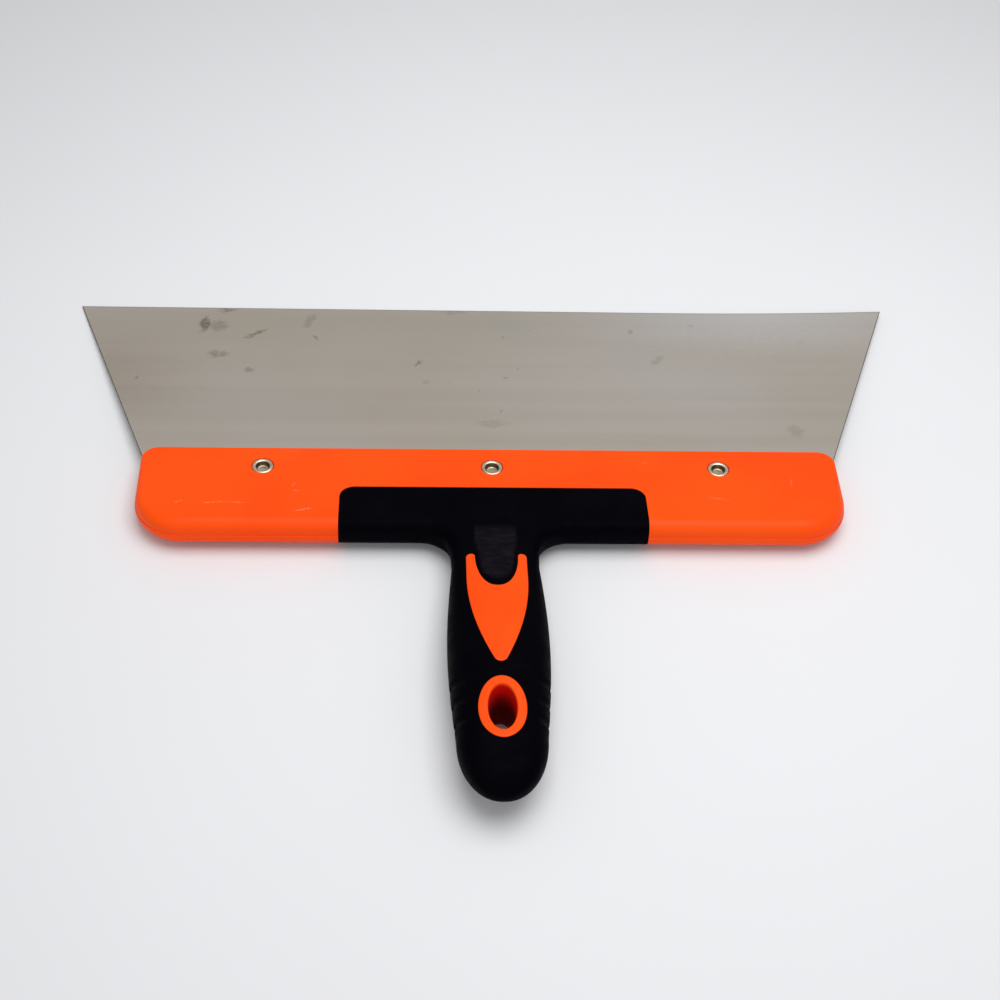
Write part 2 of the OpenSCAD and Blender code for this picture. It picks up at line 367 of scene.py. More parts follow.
def handle_field(p):
    """Superellipse sections with a rounded end."""
    x, y, z = p.T
    n = SQUARENESS
    across = np.abs(x / handle_half_w(y))
    upward = np.abs(z / np.maximum(handle_half_t(y), 1))
    ring = (across**n + upward**n)**(1 / n)
    beyond = np.maximum(END_FROM - y, 0)
    ratio = np.maximum(np.hypot(ring, beyond / END_LEN), 0.05)
    reach = np.sqrt(x * x + z * z + beyond**2)
    return np.maximum((1 - 1 / ratio) * reach, y - ROOT_AT - ROOT_LEN)


def tee_rear(x, y):
    """Rear of the tee in plan, with a fillet to a neck that narrows out of sight in the handle."""
    rear = -BAR_DEPTH - y
    narrowing = NECK_TAPER * np.maximum(NECK_AT - y, 0)
    neck = np.abs(x) - NECK_W / 2 + NECK_SINK + narrowing
    into = np.hypot(np.maximum(NECK_R - rear, 0), np.maximum(NECK_R - neck, 0))
    return np.maximum(NECK_R, np.minimum(rear, neck)) - into


def tee_field(p):
    """A wedge as thick as the bar, with a rolled rear and a sharper edge in the bar's notch."""
    x, y, z = p.T
    top = (np.abs(z) - face_z(y)) * math.cos(WEDGE) - TEE_PROUD
    profile = round_and(top, tee_rear(x, y), ROLL_R)
    plan = round_and(np.abs(x) - TEE_HALF, y + TEE_FRONT, TEE_R)
    return round_and(profile, plan + TEE_GAP, TEE_EDGE_R)


def thumb_pad(x, y):
    """From 0 outside the thumb pad to 1 on it."""
    between_horns = INLAY_HALF - HORN_W - PAD_GAP
    flare = PAD_FLARE * smoothstep(HORN_Y, HORN_Y + PAD_FLARE_LEN, y)
    half = between_horns - PAD_TAPER * np.clip(HORN_Y - y, 0, PAD_TAPER_LEN) + flare
    tip = np.maximum(PAD_TO + between_horns - y, 0)
    side = np.hypot(np.abs(x), tip * 0.9) - half
    in_front = smoothstep(PAD_FROM + PAD_END, PAD_FROM - PAD_END, y)
    return smoothstep(PAD_EDGE, -PAD_EDGE, side) * in_front


def groove_depth(x, y, z):
    depth = 0
    for i in range(GROOVES):
        away = np.abs(y - (GROOVE_FIRST - i * GROOVE_PITCH - GROOVE_LEAN * np.abs(z)))
        depth = depth + smoothstep(GROOVE_HALF, 0, away)
    return GROOVE_DEPTH * depth * smoothstep(*GROOVE_FADE, np.abs(x))


def skin_field(p):
    """The black skin's surface, before its openings."""
    x, y, z = p.T
    whole = smooth_or(tee_field(p), handle_field(p), JOIN_R)
    return whole - PAD_DEPTH * thumb_pad(x, y) * (z > 0) + groove_depth(x, y, z)


def hole_distance(x, y, grow):
    """Distance from the hang hole's oval in the plan, grown by so much."""
    half = HOLE_HALF + grow
    ratio = np.hypot(x / half[0], (y - HOLE_Y) / half[1])
    return (ratio - 1) * half[0]


def grip_field(p):
    x, y, z = p.T
    return np.maximum(skin_field(p), -hole_distance(x, y, UNDER_RING))


def top_z(x, y, rounds=40):
    """Height of the skin's upper side over a place in the plan."""
    low, high = np.zeros(len(x)), np.full(len(x), 25.0)
    for _ in range(rounds):
        mid = (low + high) / 2
        inside = skin_field(np.column_stack([x, y, mid])) < 0
        low, high = np.where(inside, mid, low), np.where(inside, high, mid)
    return (low + high) / 2


# ---- Materials ----

class Shader:
    """A material with a Principled shader and short calls for its nodes."""

    def __init__(self, name, color, roughness, metallic=0.0, specular=0.5):
        self.material = bpy.data.materials.new(name)
        self.material.use_nodes = True
        self.tree = self.material.node_tree
        self.shader = next(n for n in self.tree.nodes if n.type == "BSDF_PRINCIPLED")
        self.shader.inputs["Base Color"].default_value = (*color, 1)
        self.shader.inputs["Roughness"].default_value = roughness
        self.shader.inputs["Metallic"].default_value = metallic
        self.shader.inputs["Specular IOR Level"].default_value = specular
        self.place = self.node("ShaderNodeTexCoord").outputs["Object"]

    def node(self, kind, **settings):
        made = self.tree.nodes.new(kind)
        for key, value in settings.items():
            setattr(made, key, value)
        return made

    def put(self, value, socket):
        if isinstance(value, bpy.types.NodeSocket):
            self.tree.links.new(value, socket)
        else:
            socket.default_value = value

    def math(self, operation, a, b=0.0, clamp=False):
        made = self.node("ShaderNodeMath", operation=operation, use_clamp=clamp)
        self.put(a, made.inputs[0])
        self.put(b, made.inputs[1])
        return made.outputs[0]

    def scaled(self, x, y, z, turn=(0.0, 0.0, 0.0)):
        made = self.node("ShaderNodeMapping")
        self.put(self.place, made.inputs["Vector"])
        made.inputs["Scale"].default_value = (x, y, z)
        made.inputs["Rotation"].default_value = turn
        return made.outputs[0]

    def noise(self, scale, detail=3.0, vector=None, roughness=0.5):
        made = self.node("ShaderNodeTexNoise")
        self.put(vector or self.place, made.inputs["Vector"])
        made.inputs["Scale"].default_value = scale
        made.inputs["Detail"].default_value = detail
        made.inputs["Roughness"].default_value = roughness
        return made.outputs["Fac"]

    def cells(self, scale, vector=None):
        made = self.node("ShaderNodeTexVoronoi")
        self.put(vector or self.place, made.inputs["Vector"])
        made.inputs["Scale"].default_value = scale
        return made.outputs["Distance"]

    def attribute(self, name):
        return self.node("ShaderNodeAttribute", attribute_name=name).outputs["Fac"]

    def spots(self, marks, height, waver, core=0.6):
        """Ovals with uneven edges: x, y, length and width in the tool frame, turn and strength."""
        drift = self.node("ShaderNodeTexNoise")
        self.put(self.place, drift.inputs["Vector"])
        drift.inputs["Scale"].default_value = 420
        centred = self.node("ShaderNodeVectorMath", operation="SUBTRACT")
        self.put(drift.outputs["Color"], centred.inputs[0])
        centred.inputs[1].default_value = (0.5, 0.5, 0.5)
        moved = self.node("ShaderNodeVectorMath", operation="MULTIPLY_ADD")
        self.put(centred.outputs[0], moved.inputs[0])
        moved.inputs[1].default_value = (waver * MM,) * 3
        self.put(self.place, moved.inputs[2])
        total, fade_out = 0.0, 1.25
        for x, y, length, width, turn, strength in marks:
            near = self.node("ShaderNodeMapping", vector_type="TEXTURE")
            self.put(moved.outputs[0], near.inputs["Vector"])
            near.inputs["Location"].default_value = to_row((x, y, height))
            near.inputs["Rotation"].default_value = (0, 0, math.radians(turn))
            near.inputs["Scale"].default_value = (length * MM / 2, width * MM / 2, 1)
            away = self.node("ShaderNodeVectorMath", operation="LENGTH")
            self.put(near.outputs[0], away.inputs[0])
            mark = self.ramp(away.outputs["Value"], fade_out, core, 0.0, strength)
            total = self.math("MAXIMUM", total, mark)
        return total

    def ramp(self, value, low, high, to_low=0.0, to_high=1.0):
        """A soft step of a value, from to_low at low to to_high at high."""
        made = self.node("ShaderNodeMapRange", interpolation_type="SMOOTHSTEP")
        for k, v in enumerate((value, low, high, to_low, to_high)):
            self.put(v, made.inputs[k])
        return made.outputs[0]

    def mix(self, share, a, b):
        made = self.node("ShaderNodeMix", data_type="RGBA")
        self.put(share, made.inputs[0])
        for value, socket in ((a, made.inputs[6]), (b, made.inputs[7])):
            self.put(value if isinstance(value, bpy.types.NodeSocket) else (*value, 1), socket)
        return made.outputs[2]

    def color(self, value):
        self.put(value, self.shader.inputs["Base Color"])

    def roughness(self, value):
        self.put(value, self.shader.inputs["Roughness"])

    def bump(self, height, distance, strength=1.0):
        made = self.node("ShaderNodeBump")
        made.inputs["Distance"].default_value = distance
        made.inputs["Strength"].default_value = strength
        self.put(height, made.inputs["Height"])
        self.tree.links.new(made.outputs[0], self.shader.inputs["Normal"])


# Marks in the tool frame: x, y, length and width in millimetres, turn in degrees and strength.
# SCUFFS are pale ones on the bar, STAINS dull ones on the blade; the last two are wide patches
# of the blade: a painted reflection on its right side and painted shade at its left end.
SCUFFS = (
    (-121, -34, 4, 0.8, 30, 0.35), (-107, -34, 9, 0.6, 6, 0.4), (-98, -34, 7, 0.5, -3, 0.45),
    (-77, -23, 3, 0.8, 50, 0.3), (-76, -27, 3, 0.6, 10, 0.3), (-73, -38, 7, 0.7, 14, 0.45),
    (88, -30, 9, 0.8, -12, 0.25), (60, -9, 5, 0.6, 20, 0.2), (118, -20, 6, 0.6, 75, 0.2),
)
STAINS = (
    (-121, 81, 5.0, 11.0, -6, 1.0), (-115, 80, 9.0, 8.0, 0, 0.5), (-112, 91, 8.0, 3.5, 0, 0.7),
    (-99, 75, 12.0, 2.6, 34, 0.8), (-114, 61, 10.0, 5.0, 0, 0.6), (-100, 51, 5.0, 3.0, 10, 0.55),
    (-76, 84, 4.5, 11.0, -24, 0.4), (-73, 73, 5.0, 1.8, -50, 0.6), (-146, 45, 1.6, 2.2, 0, 0.6),
    (63, 79, 2.6, 3.0, 0, 0.45), (73, 60, 3.0, 9.0, -42, 0.35), (90, 84, 3.0, 1.6, 0, 0.3),
    (126, 15, 7.0, 8.0, 0, 0.35), (-29, 56, 1.5, 6.0, -25, 0.7), (-26, 44, 4.0, 3.0, 0, 0.3),
    (-16, 44, 0.9, 1.2, 0, 0.9), (-4, 39, 0.9, 1.2, 0, 0.8), (8, 47, 3.2, 1.3, 20, 0.5),
    (5, 26, 1.2, 1.0, 0, 0.5), (1, 18, 14.0, 5.0, 0, 0.3), (7, 74, 2.4, 1.4, 0, 0.4),
    (19, 79, 2.0, 1.2, 0, 0.5), (13, 53, 2.2, 1.2, 0, 0.5), (-14, 91, 12.0, 3.0, 0, 0.3),
)
# painted reflection: a bright patch on the right of the blade
PAINTED_REFLECTION = ((118, 90, 200, 70, 3, 1.0), (80, 48, 200, 110, 8, 0.35))
# painted shade: a dark patch at the left end of the blade
PAINTED_SHADE = ((-160, 45, 90, 90, 0, 1.0),)


def orange_plastic():
    """Semi-gloss moulded plastic with faint flow marks, scuffs and painted shade in the hang hole.
    """
    s = Shader("orange_plastic", (1.0, 0.066, 0.001), 0.40, specular=0.12)
    flow = s.noise(18, 4)
    base = s.mix(s.ramp(flow, 0.35, 0.65), (1.0, 0.070, 0.001), (1.0, 0.084, 0.0015))
    thin = s.noise(1.0, 2, s.scaled(60, 900, 900, (0, 0, 0.12)))
    across = s.noise(1.0, 2, s.scaled(900, 80, 900, (0, 0, 0.5)))
    patch = s.ramp(s.noise(40, 2), 0.55, 0.65)
    scratch = s.math("MULTIPLY", s.ramp(s.math("MAXIMUM", thin, across), 0.72, 0.76), patch)
    scuff = s.math("MULTIPLY", s.spots(SCUFFS, 5, 1.6), s.ramp(s.noise(900, 3), 0.35, 0.6))
    worn = s.mix(s.math("MULTIPLY", scratch, 0.25), base, (0.96, 0.22, 0.07))
    worn = s.mix(scuff, worn, (0.98, 0.40, 0.22))
    # painted shade: the hang hole's wall turns dark red inside, and nearly black lower down
    shade_depth = s.attribute("shade_depth")
    wall = s.mix(s.ramp(shade_depth, 0.02, 0.12), worn, (0.72, 0.003, 0.0003))
    s.color(s.mix(s.ramp(shade_depth, 0.15, 1.0), wall, (0.12, 0.001, 0.0003)))
    grain = s.noise(2600, 2)
    matt = s.math("MULTIPLY", s.ramp(shade_depth, 0.02, 0.3), 0.5)
    s.roughness(s.math("ADD", s.ramp(s.noise(150, 4), 0.3, 0.7, 0.36, 0.46), matt))
    raised, cut = s.math("MULTIPLY", grain, 0.6), s.math("MULTIPLY", scratch, -0.8)
    s.bump(s.math("ADD", raised, cut), 0.00003)
    return s.material


def black_rubber():
    """Matte soft-touch rubber with a fine grain, dust specks and a paler, rubbed thumb pad."""
    s = Shader("black_rubber", (0.0008, 0.0007, 0.002), 0.5, specular=0.018)
    pad = s.attribute("pad")
    handled = s.ramp(s.noise(60, 4), 0.4, 0.75)
    base = s.mix(handled, (0.0005, 0.0004, 0.0016), (0.0010, 0.0009, 0.0024))
    rubbed = s.ramp(s.noise(1.0, 4, s.scaled(220, 500, 500, (0, 0, 0.2))), 0.4, 0.7)
    worn = s.mix(rubbed, (0.0046, 0.0036, 0.0062), (0.0095, 0.0080, 0.0110))
    base = s.mix(pad, base, worn)
    speck = s.ramp(s.cells(420), 0.055, 0.03)
    rare = s.ramp(s.noise(140, 1), 0.60, 0.66)
    dust = s.math("MULTIPLY", s.math("MULTIPLY", speck, rare), 0.4)
    base = s.mix(dust, base, (0.06, 0.06, 0.07))
    s.color(base)
    s.roughness(s.ramp(s.noise(220, 5), 0.3, 0.7, 0.50, 0.64))
    grain = s.noise(3800, 2)
    s.bump(s.math("ADD", grain, s.math("MULTIPLY", s.noise(300, 3), 0.6)), 0.00005)
    return s.material


def blade_steel():
    """Satin stainless sheet: a faint grain along it, cloudy tints, dull marks and specks, with a
    painted reflection on its right and painted shade at its left end.
    """
    s = Shader("blade_steel", (0.74, 0.66, 0.56), 0.32, metallic=1.0)
    fine = s.noise(1.0, 3, s.scaled(25, 4200, 4200))
    streak = s.noise(1.0, 3, s.scaled(3, 120, 120))
    warm = s.mix(s.ramp(s.noise(11, 4), 0.35, 0.65), (0.73, 0.65, 0.545), (0.76, 0.68, 0.60))
    cool = s.ramp(s.noise(23, 3, s.scaled(1, 1, 1, (0, 0, 1))), 0.52, 0.72, 0.0, 0.6)
    base = s.mix(cool, warm, (0.70, 0.665, 0.56))
    # painted reflection brightens the blade's right side, painted shade darkens its left end
    base = s.mix(s.spots(PAINTED_REFLECTION, 0, 12.0, -0.3), base, (0.98, 0.945, 0.93))
    base = s.mix(s.spots(PAINTED_SHADE, 0, 12.0, -0.3), base, (0.62, 0.54, 0.44))
    base = s.mix(s.ramp(streak, 0.35, 0.7, 0.0, 0.12), base, (0.77, 0.70, 0.62))
    base = s.mix(s.ramp(fine, 0.45, 0.75, 0.0, 0.06), base, (0.49, 0.455, 0.41))
    broken = s.ramp(s.noise(650, 5, roughness=0.7), 0.30, 0.56, 0.45, 1.0)
    stain = s.math("MULTIPLY", s.spots(STAINS, 0, 4.5, 0.45), broken)
    rare = s.ramp(s.noise(90, 1), 0.60, 0.64)
    speck = s.math("MULTIPLY", s.ramp(s.cells(260), 0.06, 0.03), rare)
    dull = s.math("MAXIMUM", stain, s.math("MULTIPLY", speck, 0.6))
    worn = s.mix(s.math("MULTIPLY", dull, 0.85), base, (0.25, 0.21, 0.16))
    # the broken edge and the band inside it are darker
    s.color(s.mix(s.attribute("rim"), worn, (0.20, 0.185, 0.17)))
    satin = s.ramp(streak, 0.3, 0.7, 0.30, 0.34)
    s.roughness(s.math("ADD", satin, s.math("MULTIPLY", dull, 0.1)))
    s.bump(s.math("ADD", fine, s.math("MULTIPLY", streak, 0.5)), 0.000006)
    return s.material


def rivet_metal():
    """Nickel-plated steel with turning marks and painted shade on the bore's wall."""
    s = Shader("rivet_metal", (0.62, 0.58, 0.48), 0.24, metallic=1.0)
    cloud = s.ramp(s.noise(300, 3), 0.35, 0.7)
    plated = s.mix(cloud, (0.76, 0.67, 0.50), (0.60, 0.51, 0.36))
    # painted shade darkens the bore's wall
    s.color(s.mix(s.attribute("shade_depth"), plated, (0.20, 0.155, 0.10)))
    s.roughness(s.ramp(s.noise(900, 3), 0.3, 0.7, 0.30, 0.42))
    s.bump(s.noise(2500, 3), 0.000006)
    return s.material


def pale_floor():
    """A pale matte table with painted shade that darkens it away from the knife."""
    s = Shader("pale_floor", (0.81, 0.815, 0.83), 0.6, specular=0.1)
    away = s.node("ShaderNodeVectorMath", operation="DISTANCE")
    s.put(s.place, away.inputs[0])
    away.inputs[1].default_value = (0.05, 0.06, 0)
    near = s.mix(s.ramp(s.noise(6, 4), 0.3, 0.7), (0.805, 0.81, 0.825), (0.815, 0.82, 0.835))
    # painted shade: the table's colour darkens with distance from the knife
    s.color(s.mix(s.ramp(away.outputs["Value"], 0.08, 0.62), near, (0.64, 0.64, 0.655)))
    return s.material


# ---- Pieces ----

def blade_half(y):
    """Half of the blade's length, which shrinks towards the tang."""
    return BLADE_HALF - (BLADE_REACH - y) * (BLADE_HALF - TANG_HALF) / (BLADE_REACH + TANG)


def spring(x, y):
    """Upward bend of the free sheet."""
    along = np.clip((x - SPRING_FROM) / (BLADE_HALF - SPRING_FROM), 0, 1)
    out = np.clip(y / BLADE_REACH, 0, 1)
    return SPRING_LIFT * along**2 * out**2


def make_blade(material):
    """One sheet with broken edges: an upper grid, a lower grid and the three loops between."""
    columns, rows = 140, 46
    u, v = np.linspace(-1, 1, columns), np.linspace(0, 1, rows)

    def sheet(inset, z):
        y = (BLADE_REACH - inset) * v + (inset - TANG) * (1 - v)
        yy, uu = np.meshgrid(y, u, indexing="ij")
        xx = uu * (blade_half(yy) - inset)
        return np.stack([xx, yy, z + spring(xx, yy)], -1)

    half = BLADE_T / 2
    rim = np.concatenate([
        np.arange(columns), np.arange(1, rows) * columns + columns - 1,
        np.arange(columns - 2, -1, -1) + (rows - 1) * columns, np.arange(rows - 2, 0, -1) * columns,
    ])
    grids = [sheet(BLADE_LAND + LAND_FADE, half), sheet(BLADE_LAND + LAND_FADE, -half)]
    edges = [sheet(BLADE_LAND, half), sheet(BLADE_BEVEL, half), sheet(0, half - BLADE_BEVEL),
             sheet(0, BLADE_BEVEL - half), sheet(BLADE_BEVEL, -half), sheet(BLADE_LAND, -half)]
    points = [g.reshape(-1, 3) for g in grids] + [g.reshape(-1, 3)[rim] for g in edges]
    points = np.concatenate(points)
    grid = np.arange(columns * rows).reshape(rows, columns)
    quads = np.stack([grid[:-1, :-1], grid[:-1, 1:], grid[1:, 1:], grid[1:, :-1]], -1)
    quads = quads.reshape(-1, 4)
    faces = [quads, quads[:, ::-1] + columns * rows]
    start = 2 * columns * rows
    loops = [rim] + [start + k * len(rim) + np.arange(len(rim)) for k in range(len(edges))]
    loops.append(rim + columns * rows)
    for a, b in zip(loops, loops[1:]):
        faces.append(np.stack([np.roll(a, -1), a, b, np.roll(b, -1)], 1))
    obj = make_object("blade_sheet", points, np.concatenate(faces), material)
    obj.data.set_sharp_from_angle(angle=math.radians(25))
    point_attribute(obj, "rim", np.arange(len(points)) >= start)
    return obj


def bar_loops():
    """Loops of the bar from its upper face round the parting line to its lower face."""
    outline, normal = rounded_outline(BAR_HALF, 0, -BAR_DEPTH, FRONT_R, REAR_R)
    edge = LIP_R + (ROLL_R - LIP_R) * smoothstep(0, BAR_DEPTH, -outline[:, 1])

    def loop(inset, height, side):
        at = outline - normal * np.asarray(inset).reshape(-1, 1)
        return np.column_stack([at, side * height(at)])

    def round_loop(start, a, side):
        return loop(start + edge * (1 - math.cos(a)),
                    lambda at: face_z(at[:, 1]) - edge * (1 - math.sin(a)), side)

    def level(inset, z):
        return loop(np.full(len(outline), inset), lambda at: np.full(len(at), abs(z)),
                    math.copysign(1, z))

    turns = [math.radians(90 - 10 * k) for k in range(10)]
    loops = [round_loop(LEDGE, a, 1) for a in turns]
    loops += [level(inset, z) for inset, z in PARTING]
    loops += [round_loop(0, a, -1) for a in reversed(turns)]
    return loops


def make_bar(material):
    """The orange bar: round edges, a parting line, the blade's slot, seats and the tee's notch."""
    bar = make_object("bar", *loops_mesh(bar_loops()), material)
    ahead, behind, far = 5.0, 20.0, 30.0               # the cutters reach out of the bar by these
    slot_half, slot_y = BLADE_T / 2 + SLOT_PLAY, TANG + SLOT_END_PLAY
    slot = np.array([(blade_half(ahead) + 1, ahead), (-blade_half(ahead) - 1, ahead),
                     (-blade_half(-slot_y), -slot_y), (blade_half(-slot_y), -slot_y)])
    notch, _ = rounded_outline(TEE_HALF, -TEE_FRONT, -BAR_DEPTH - behind, TEE_R, TEE_R)
    cutters = [prism(slot, -slot_half, slot_half), prism(notch, -far, far)]
    for rivet in RIVETS:
        profile = [(AXIS_R, far), (SEAT_R, far), (SEAT_R, SEAT_Z), (BORE_R, SEAT_Z),
                   (BORE_R, -SEAT_Z), (HEAD_SEAT_R, -SEAT_Z), (HEAD_SEAT_R, -far), (AXIS_R, -far)]
        cutters.append(revolve(profile, rivet_place(rivet)))
    for k, (points, faces) in enumerate(cutters):
        boolean(bar, make_object(f"cutter_{k}", points, faces, material), "DIFFERENCE")
    weigh_normals(bar)
    return bar


def rivet_place(node):
    """Where a rivet's axis stands in the plan."""
    points = cad_points(node) - LIP
    middle = (points.min(0) + points.max(0)) / 2
    return middle[0], middle[1]


def arc(x, y, r, start, end, steps):
    """Points on an arc, with its angles in degrees."""
    angles = np.radians(np.linspace(start, end, steps + 1))
    return [(x + r * math.cos(a), y + r * math.sin(a)) for a in angles]


def inlay_outline():
    """Counter-clockwise from the tip: right side, right horn, notch, left horn, left side."""
    curve_x = INLAY_SIDE_R - INLAY_HALF
    tip_y = CURVE_Y - math.sqrt((INLAY_SIDE_R - INLAY_TIP_R)**2 - curve_x**2)
    lean = math.degrees(math.atan2(CURVE_Y - tip_y, curve_x))
    horn_r, horn_x = HORN_W / 2, INLAY_HALF - HORN_W / 2
    right = arc(0, tip_y, INLAY_TIP_R, -90, -lean, 10)
    right += arc(-curve_x, CURVE_Y, INLAY_SIDE_R, -lean, 0, 40)[1:]
    right += [(INLAY_HALF, CURVE_Y + k * (HORN_Y - CURVE_Y) / 10) for k in range(1, 10)]
    right += arc(horn_x, HORN_Y, horn_r, 0, 180, 16)
    notch_depth = HORN_Y - CURVE_Y + NOTCH_R
    for a in np.radians(np.linspace(0, 90, 25))[1:]:
        right.append(((horn_x - horn_r) * math.cos(a)**NOTCH_BEND[0],
                      HORN_Y - notch_depth * math.sin(a)**NOTCH_BEND[1]))
    left = [(-x, y) for x, y in reversed(right[1:-1])]
    return np.array(right + left)


def outline_normals(outline):
    along = np.roll(outline, -1, 0) - np.roll(outline, 1, 0)
    along /= np.linalg.norm(along, axis=1)[:, None]
    return np.column_stack([along[:, 1], -along[:, 0]])


def band(upper, lower):
    """Quads between two equal closed rows of vertex numbers."""
    return list(zip(upper[1:] + upper[:1], upper, lower, lower[1:] + lower[:1]))


EDGE_TURNS = (0, 22, 45, 67, 90)            # angles of the loops on a round edge, in degrees


def make_inlay(material):
    """A closed patch whose upper side follows the handle, with round edges."""
    outline = inlay_outline()
    normal = outline_normals(outline)
    edge, depth = 0.45, 3.0
    spacing, row_step, clear = 0.9, 0.87, 0.55         # of the inner points, the last two as shares
    insets = [edge * (1 - math.cos(math.radians(a))) for a in EDGE_TURNS]
    drops = [edge * (1 - math.sin(math.radians(a))) for a in EDGE_TURNS]
    rings = [outline - normal * d for d in insets]
    inner = rings[-1]
    low, high = outline.min(0), outline.max(0)
    inside = []
    for j, y in enumerate(np.arange(low[1], high[1], spacing * row_step)):
        for x in np.arange(low[0] + (j % 2) * spacing / 2, high[0], spacing):
            away = inner - (x, y)
            turning = np.arctan2(away[:, 1], away[:, 0])
            turns = np.diff(np.append(turning, turning[0]))
            wound = ((turns + math.pi) % (2 * math.pi) - math.pi).sum()
            if abs(wound) > math.pi and np.hypot(*away.T).min() > spacing * clear:
                inside.append((x, y))
    flat = [Vector(p) for p in np.concatenate([inner, inside])]
    count = len(outline)
    made = delaunay_2d_cdt(flat, [], [list(range(count))], 1, 1e-6)
    plan = np.array([tuple(v) for v in made[0]])
    cap = [list(f) for f in made[2]]
    level = top_z(plan[:, 0], plan[:, 1]) + PROUD
    points = [np.column_stack([plan, level])]
    start = len(plan)
    for ring, drop in zip(rings[:-1], drops[:-1]):
        points.append(np.column_stack([ring, top_z(ring[:, 0], ring[:, 1]) + PROUD - drop]))
    points.append(np.column_stack([outline, top_z(outline[:, 0], outline[:, 1]) - depth]))
    bottom = start + count * len(rings)
    points.append(np.column_stack([plan, level - depth]))
    rows = [list(range(start + k * count, start + (k + 1) * count)) for k in range(len(rings))]
    rows = [list(range(count)), rows[3], rows[2], rows[1], rows[0], rows[4],
            list(range(bottom, bottom + count))]
    faces = list(cap)
    for upper, lower in zip(rows, rows[1:]):
        faces += band(upper, lower)
    faces += [[bottom + i for i in reversed(f)] for f in cap]
    obj = make_object("inlay", np.concatenate(points), faces, material)
    obj.data.set_sharp_from_angle(angle=math.radians(50))
    return obj


def make_ring(material):
    """The orange tube round the hang hole, flush with the handle on both sides."""
    sides = 144
    angles = np.arange(sides) * 2 * math.pi / sides
    circle = np.column_stack([np.cos(angles), np.sin(angles)])
    outer_r, inner_r = 0.45, 0.6                       # rounding of its two edges
    dark_from, dark_at = 0.5, 12.5                     # painted shade darkens the wall between these depths

    def at(out):
        return circle * (HOLE_HALF + out) + (0, HOLE_Y)

    across = []
    for a in EDGE_TURNS:
        a = math.radians(a)
        across.append((RING_T - outer_r * (1 - math.cos(a)), outer_r * (1 - math.sin(a)), 0))
    for k in (0.33, 0.67):
        across.append((RING_T - outer_r - k * (RING_T - outer_r - inner_r), 0, 0))
    for a in (90, 70, 50, 30, 15, 0):
        a = math.radians(a)
        across.append((inner_r * (1 - math.cos(a)), inner_r * (1 - math.sin(a)), 0))
    for drop in (1.2, 2.0, 3.0, 4.0, 6.5, 9.0):
        across.append((0, drop, (drop - dark_from) / (dark_at - dark_from)))
    loops, shade_depth = [], []
    for side in (1, -1):
        for out, drop, dark in across if side == 1 else reversed(across):
            plan = at(out)
            z = side * (top_z(plan[:, 0], plan[:, 1]) + PROUD - drop)
            lowered = np.clip((HOLE_TOP - z) / (2 * HOLE_TOP), 0, 1)
            inward = HOLE_DRAFT * lowered * (out < RING_T / 2)
            plan = plan - circle * inward[:, None]
            loops.append(np.column_stack([plan, z]))
            # painted shade: darkest on the underside's inner edge
            shade_depth += [1.0 if side < 0 and out < inner_r else dark] * sides
    points, faces = loops_mesh(loops + [loops[0]], close_ends=False)
    count = len(loops) * sides
    faces = [tuple(i % count for i in f) for f in faces]
    obj = make_object("hang_ring", points[:count], [f[::-1] for f in faces], material)
    obj.data.set_sharp_from_angle(angle=math.radians(60))
    point_attribute(obj, "shade_depth", shade_depth)
    return obj


def make_grip(material):
    """The black skin of tee and handle, shaded by its field's own slope."""
    step, half_height = 0.55, 13.2
    low = (-TEE_HALF - 1, HANDLE_END - 1, -half_height)
    high = (TEE_HALF + 1, 1 - TEE_FRONT, half_height)
    points, faces = surface_net(grip_field, low, high, step)
    points = onto(grip_field, points)
    obj = make_object("grip_skin", points, faces, material)
    set_normals(obj, gradient(grip_field, points))
    x, y, z = points.T
    point_attribute(obj, "pad", thumb_pad(x, y) * (z > 0))
    return obj


def make_rivet(node, material):
    """A semi-tubular rivet: rolled rim, tapered blind bore, shank and domed factory head."""
    rim_r, crown_r, roll = 4.2, 3.55, 0.55             # the rolled rim and the middle of its roll
    bore_r, floor_r, depth = 2.7, 2.2, 2.1
    head_r, head_t, head_edge, shank_r = 4.7, 1.2, 0.3, 3.2
    top = SEAT_Z + RIM_T
    floor_z = top - depth
    profile = [(AXIS_R, floor_z + 0.12), (0.8, floor_z + 0.10), (1.5, floor_z + 0.05)]
    profile += [(floor_r - 0.15, floor_z + 0.02), (floor_r + 0.02, floor_z + 0.14)]
    for k in range(1, 5):
        t = k / 5
        profile.append((floor_r + (bore_r - 0.25 - floor_r) * t, floor_z + (depth - roll) * t))
    for a in range(180, -1, -15):
        a = math.radians(a)
        half = (crown_r - bore_r + 0.1) if math.cos(a) < 0 else (rim_r - crown_r)
        profile.append((crown_r + half * math.cos(a), top - roll + roll * math.sin(a)))
    profile += [(rim_r - 0.05, top - 0.8), (rim_r - 0.25, SEAT_Z), (shank_r, SEAT_Z)]
    profile += [(shank_r, -SEAT_Z), (head_r - 0.1, -SEAT_Z), (head_r, -SEAT_Z - head_edge / 2)]
    for a in (0, 15, 30, 45, 60, 75, 88):
        a = math.radians(a)
        z = -SEAT_Z - head_edge - (head_t - head_edge) * math.sin(a)
        profile.append((head_r * math.cos(a), z))
    points, faces = revolve(profile, rivet_place(node))
    obj = make_object(node + "_formed", points, [f[::-1] for f in faces], material)
    obj.data.set_sharp_from_angle(angle=math.radians(50))
    # painted shade goes on the bore's wall, between its floor and the rim
    on_wall = [floor_r - 0.2 < r < crown_r - 0.6 and floor_z + 0.1 < z < top - 0.2
               for r, z in profile]
    point_attribute(obj, "shade_depth", np.repeat(on_wall, len(points) // len(profile)))
    return obj


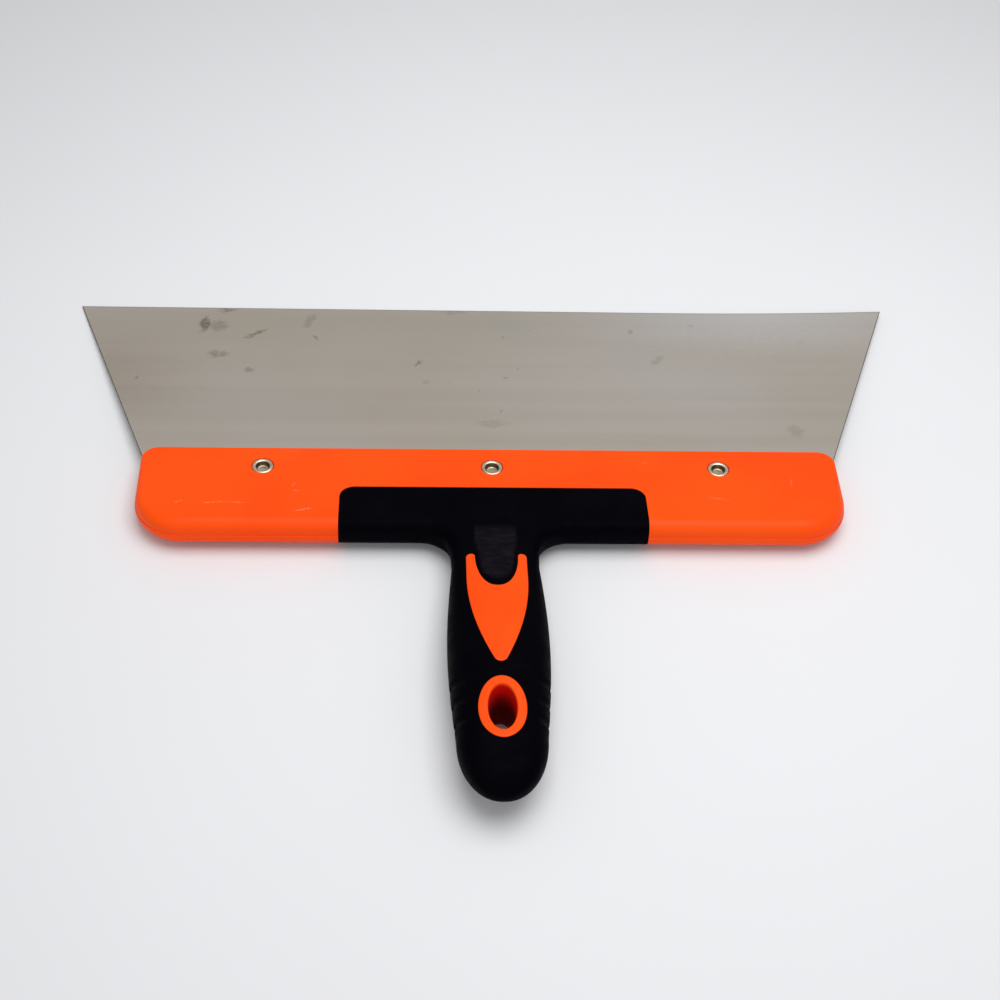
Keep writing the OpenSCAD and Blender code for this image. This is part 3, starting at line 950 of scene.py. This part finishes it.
def make_floor(material):
    """A round table of closed rings, in metres."""
    size, rings, sides = 3.0, 24, 96
    loops = []
    for k in range(rings, -1, -1):
        r = max(size * (k / rings)**2, 0.001)
        angles = np.arange(sides) * 2 * math.pi / sides
        loops.append(np.column_stack([r * np.cos(angles), r * np.sin(angles), np.zeros(sides)]))
    mesh = bpy.data.meshes.new("floor")
    points, faces = loops_mesh(loops, close_ends=False)
    faces.append(tuple(range(rings * sides, (rings + 1) * sides)))
    mesh.from_pydata(points.tolist(), [], faces)
    mesh.materials.append(material)
    obj = bpy.data.objects.new("floor", mesh)
    bpy.context.scene.collection.objects.link(obj)


# ---- Camera and light ----

CAMERA_AT = (-0.0310, -0.4462, 0.5111)
CAMERA_YAW, CAMERA_PITCH, CAMERA_ROLL = 4.230, 47.621, 3.509
CAMERA_LENS, SENSOR = 62.83, 36.0


def make_camera():
    yaw, pitch, roll = map(math.radians, (CAMERA_YAW, CAMERA_PITCH, CAMERA_ROLL))
    level = Vector((math.sin(yaw), math.cos(yaw), 0))
    ahead = level * math.cos(pitch) - Vector((0, 0, math.sin(pitch)))
    right = Vector((math.cos(yaw), -math.sin(yaw), 0))
    up = right.cross(ahead)
    x = right * math.cos(roll) + up * math.sin(roll)
    y = up * math.cos(roll) - right * math.sin(roll)
    data = bpy.data.cameras.new("camera")
    data.lens, data.sensor_width = CAMERA_LENS, SENSOR
    data.clip_start, data.clip_end = 0.01, 20
    camera = bpy.data.objects.new("camera", data)
    turn = Matrix((x, y, -ahead)).transposed().to_4x4()
    camera.matrix_world = Matrix.Translation(CAMERA_AT) @ turn
    bpy.context.scene.collection.objects.link(camera)
    bpy.context.scene.camera = camera


def area_light(name, at, size, power):
    """A rectangular lamp that faces the origin."""
    data = bpy.data.lights.new(name, "AREA")
    data.shape, data.size, data.size_y = "RECTANGLE", size[0], size[1]
    data.energy = power
    light = bpy.data.objects.new(name, data)
    light.location = at
    light.rotation_euler = (-Vector(at)).to_track_quat("-Z", "Y").to_euler()
    light.visible_camera = False
    bpy.context.scene.collection.objects.link(light)


def make_light():
    world = bpy.data.worlds.new("studio")
    world.use_nodes = True
    background = world.node_tree.nodes["Background"]
    background.inputs["Color"].default_value = (0.975, 0.985, 1.0, 1)
    background.inputs["Strength"].default_value = 0.44
    bpy.context.scene.world = world
    area_light("key", (0.13, 0.01, 0.94), (0.8, 0.8), 6.5)
    area_light("fill", (0, -0.9, 0.5), (1.6, 0.9), 2.2)
    bpy.context.scene.view_settings.view_transform = "Standard"
    bpy.context.scene.view_settings.look = "None"


# ---- The knife ----

def place(piece, slot, *nodes):
    """Rides a piece on the body, in place of CAD nodes where it has any."""
    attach(piece, "root")
    if nodes:
        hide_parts(*nodes)


orange = orange_plastic()
metal = rivet_metal()
place(make_blade(blade_steel()), "blade_steel", "blade")
place(make_bar(orange), "orange_plastic", "handle_core")
place(make_inlay(orange), "orange_plastic")
place(make_ring(orange), "orange_plastic")
place(make_grip(black_rubber()), "black_rubber", "grip")
for rivet in RIVETS:
    place(make_rivet(rivet, metal), "rivet_metal", rivet)
make_floor(pale_floor())
make_camera()
make_light()
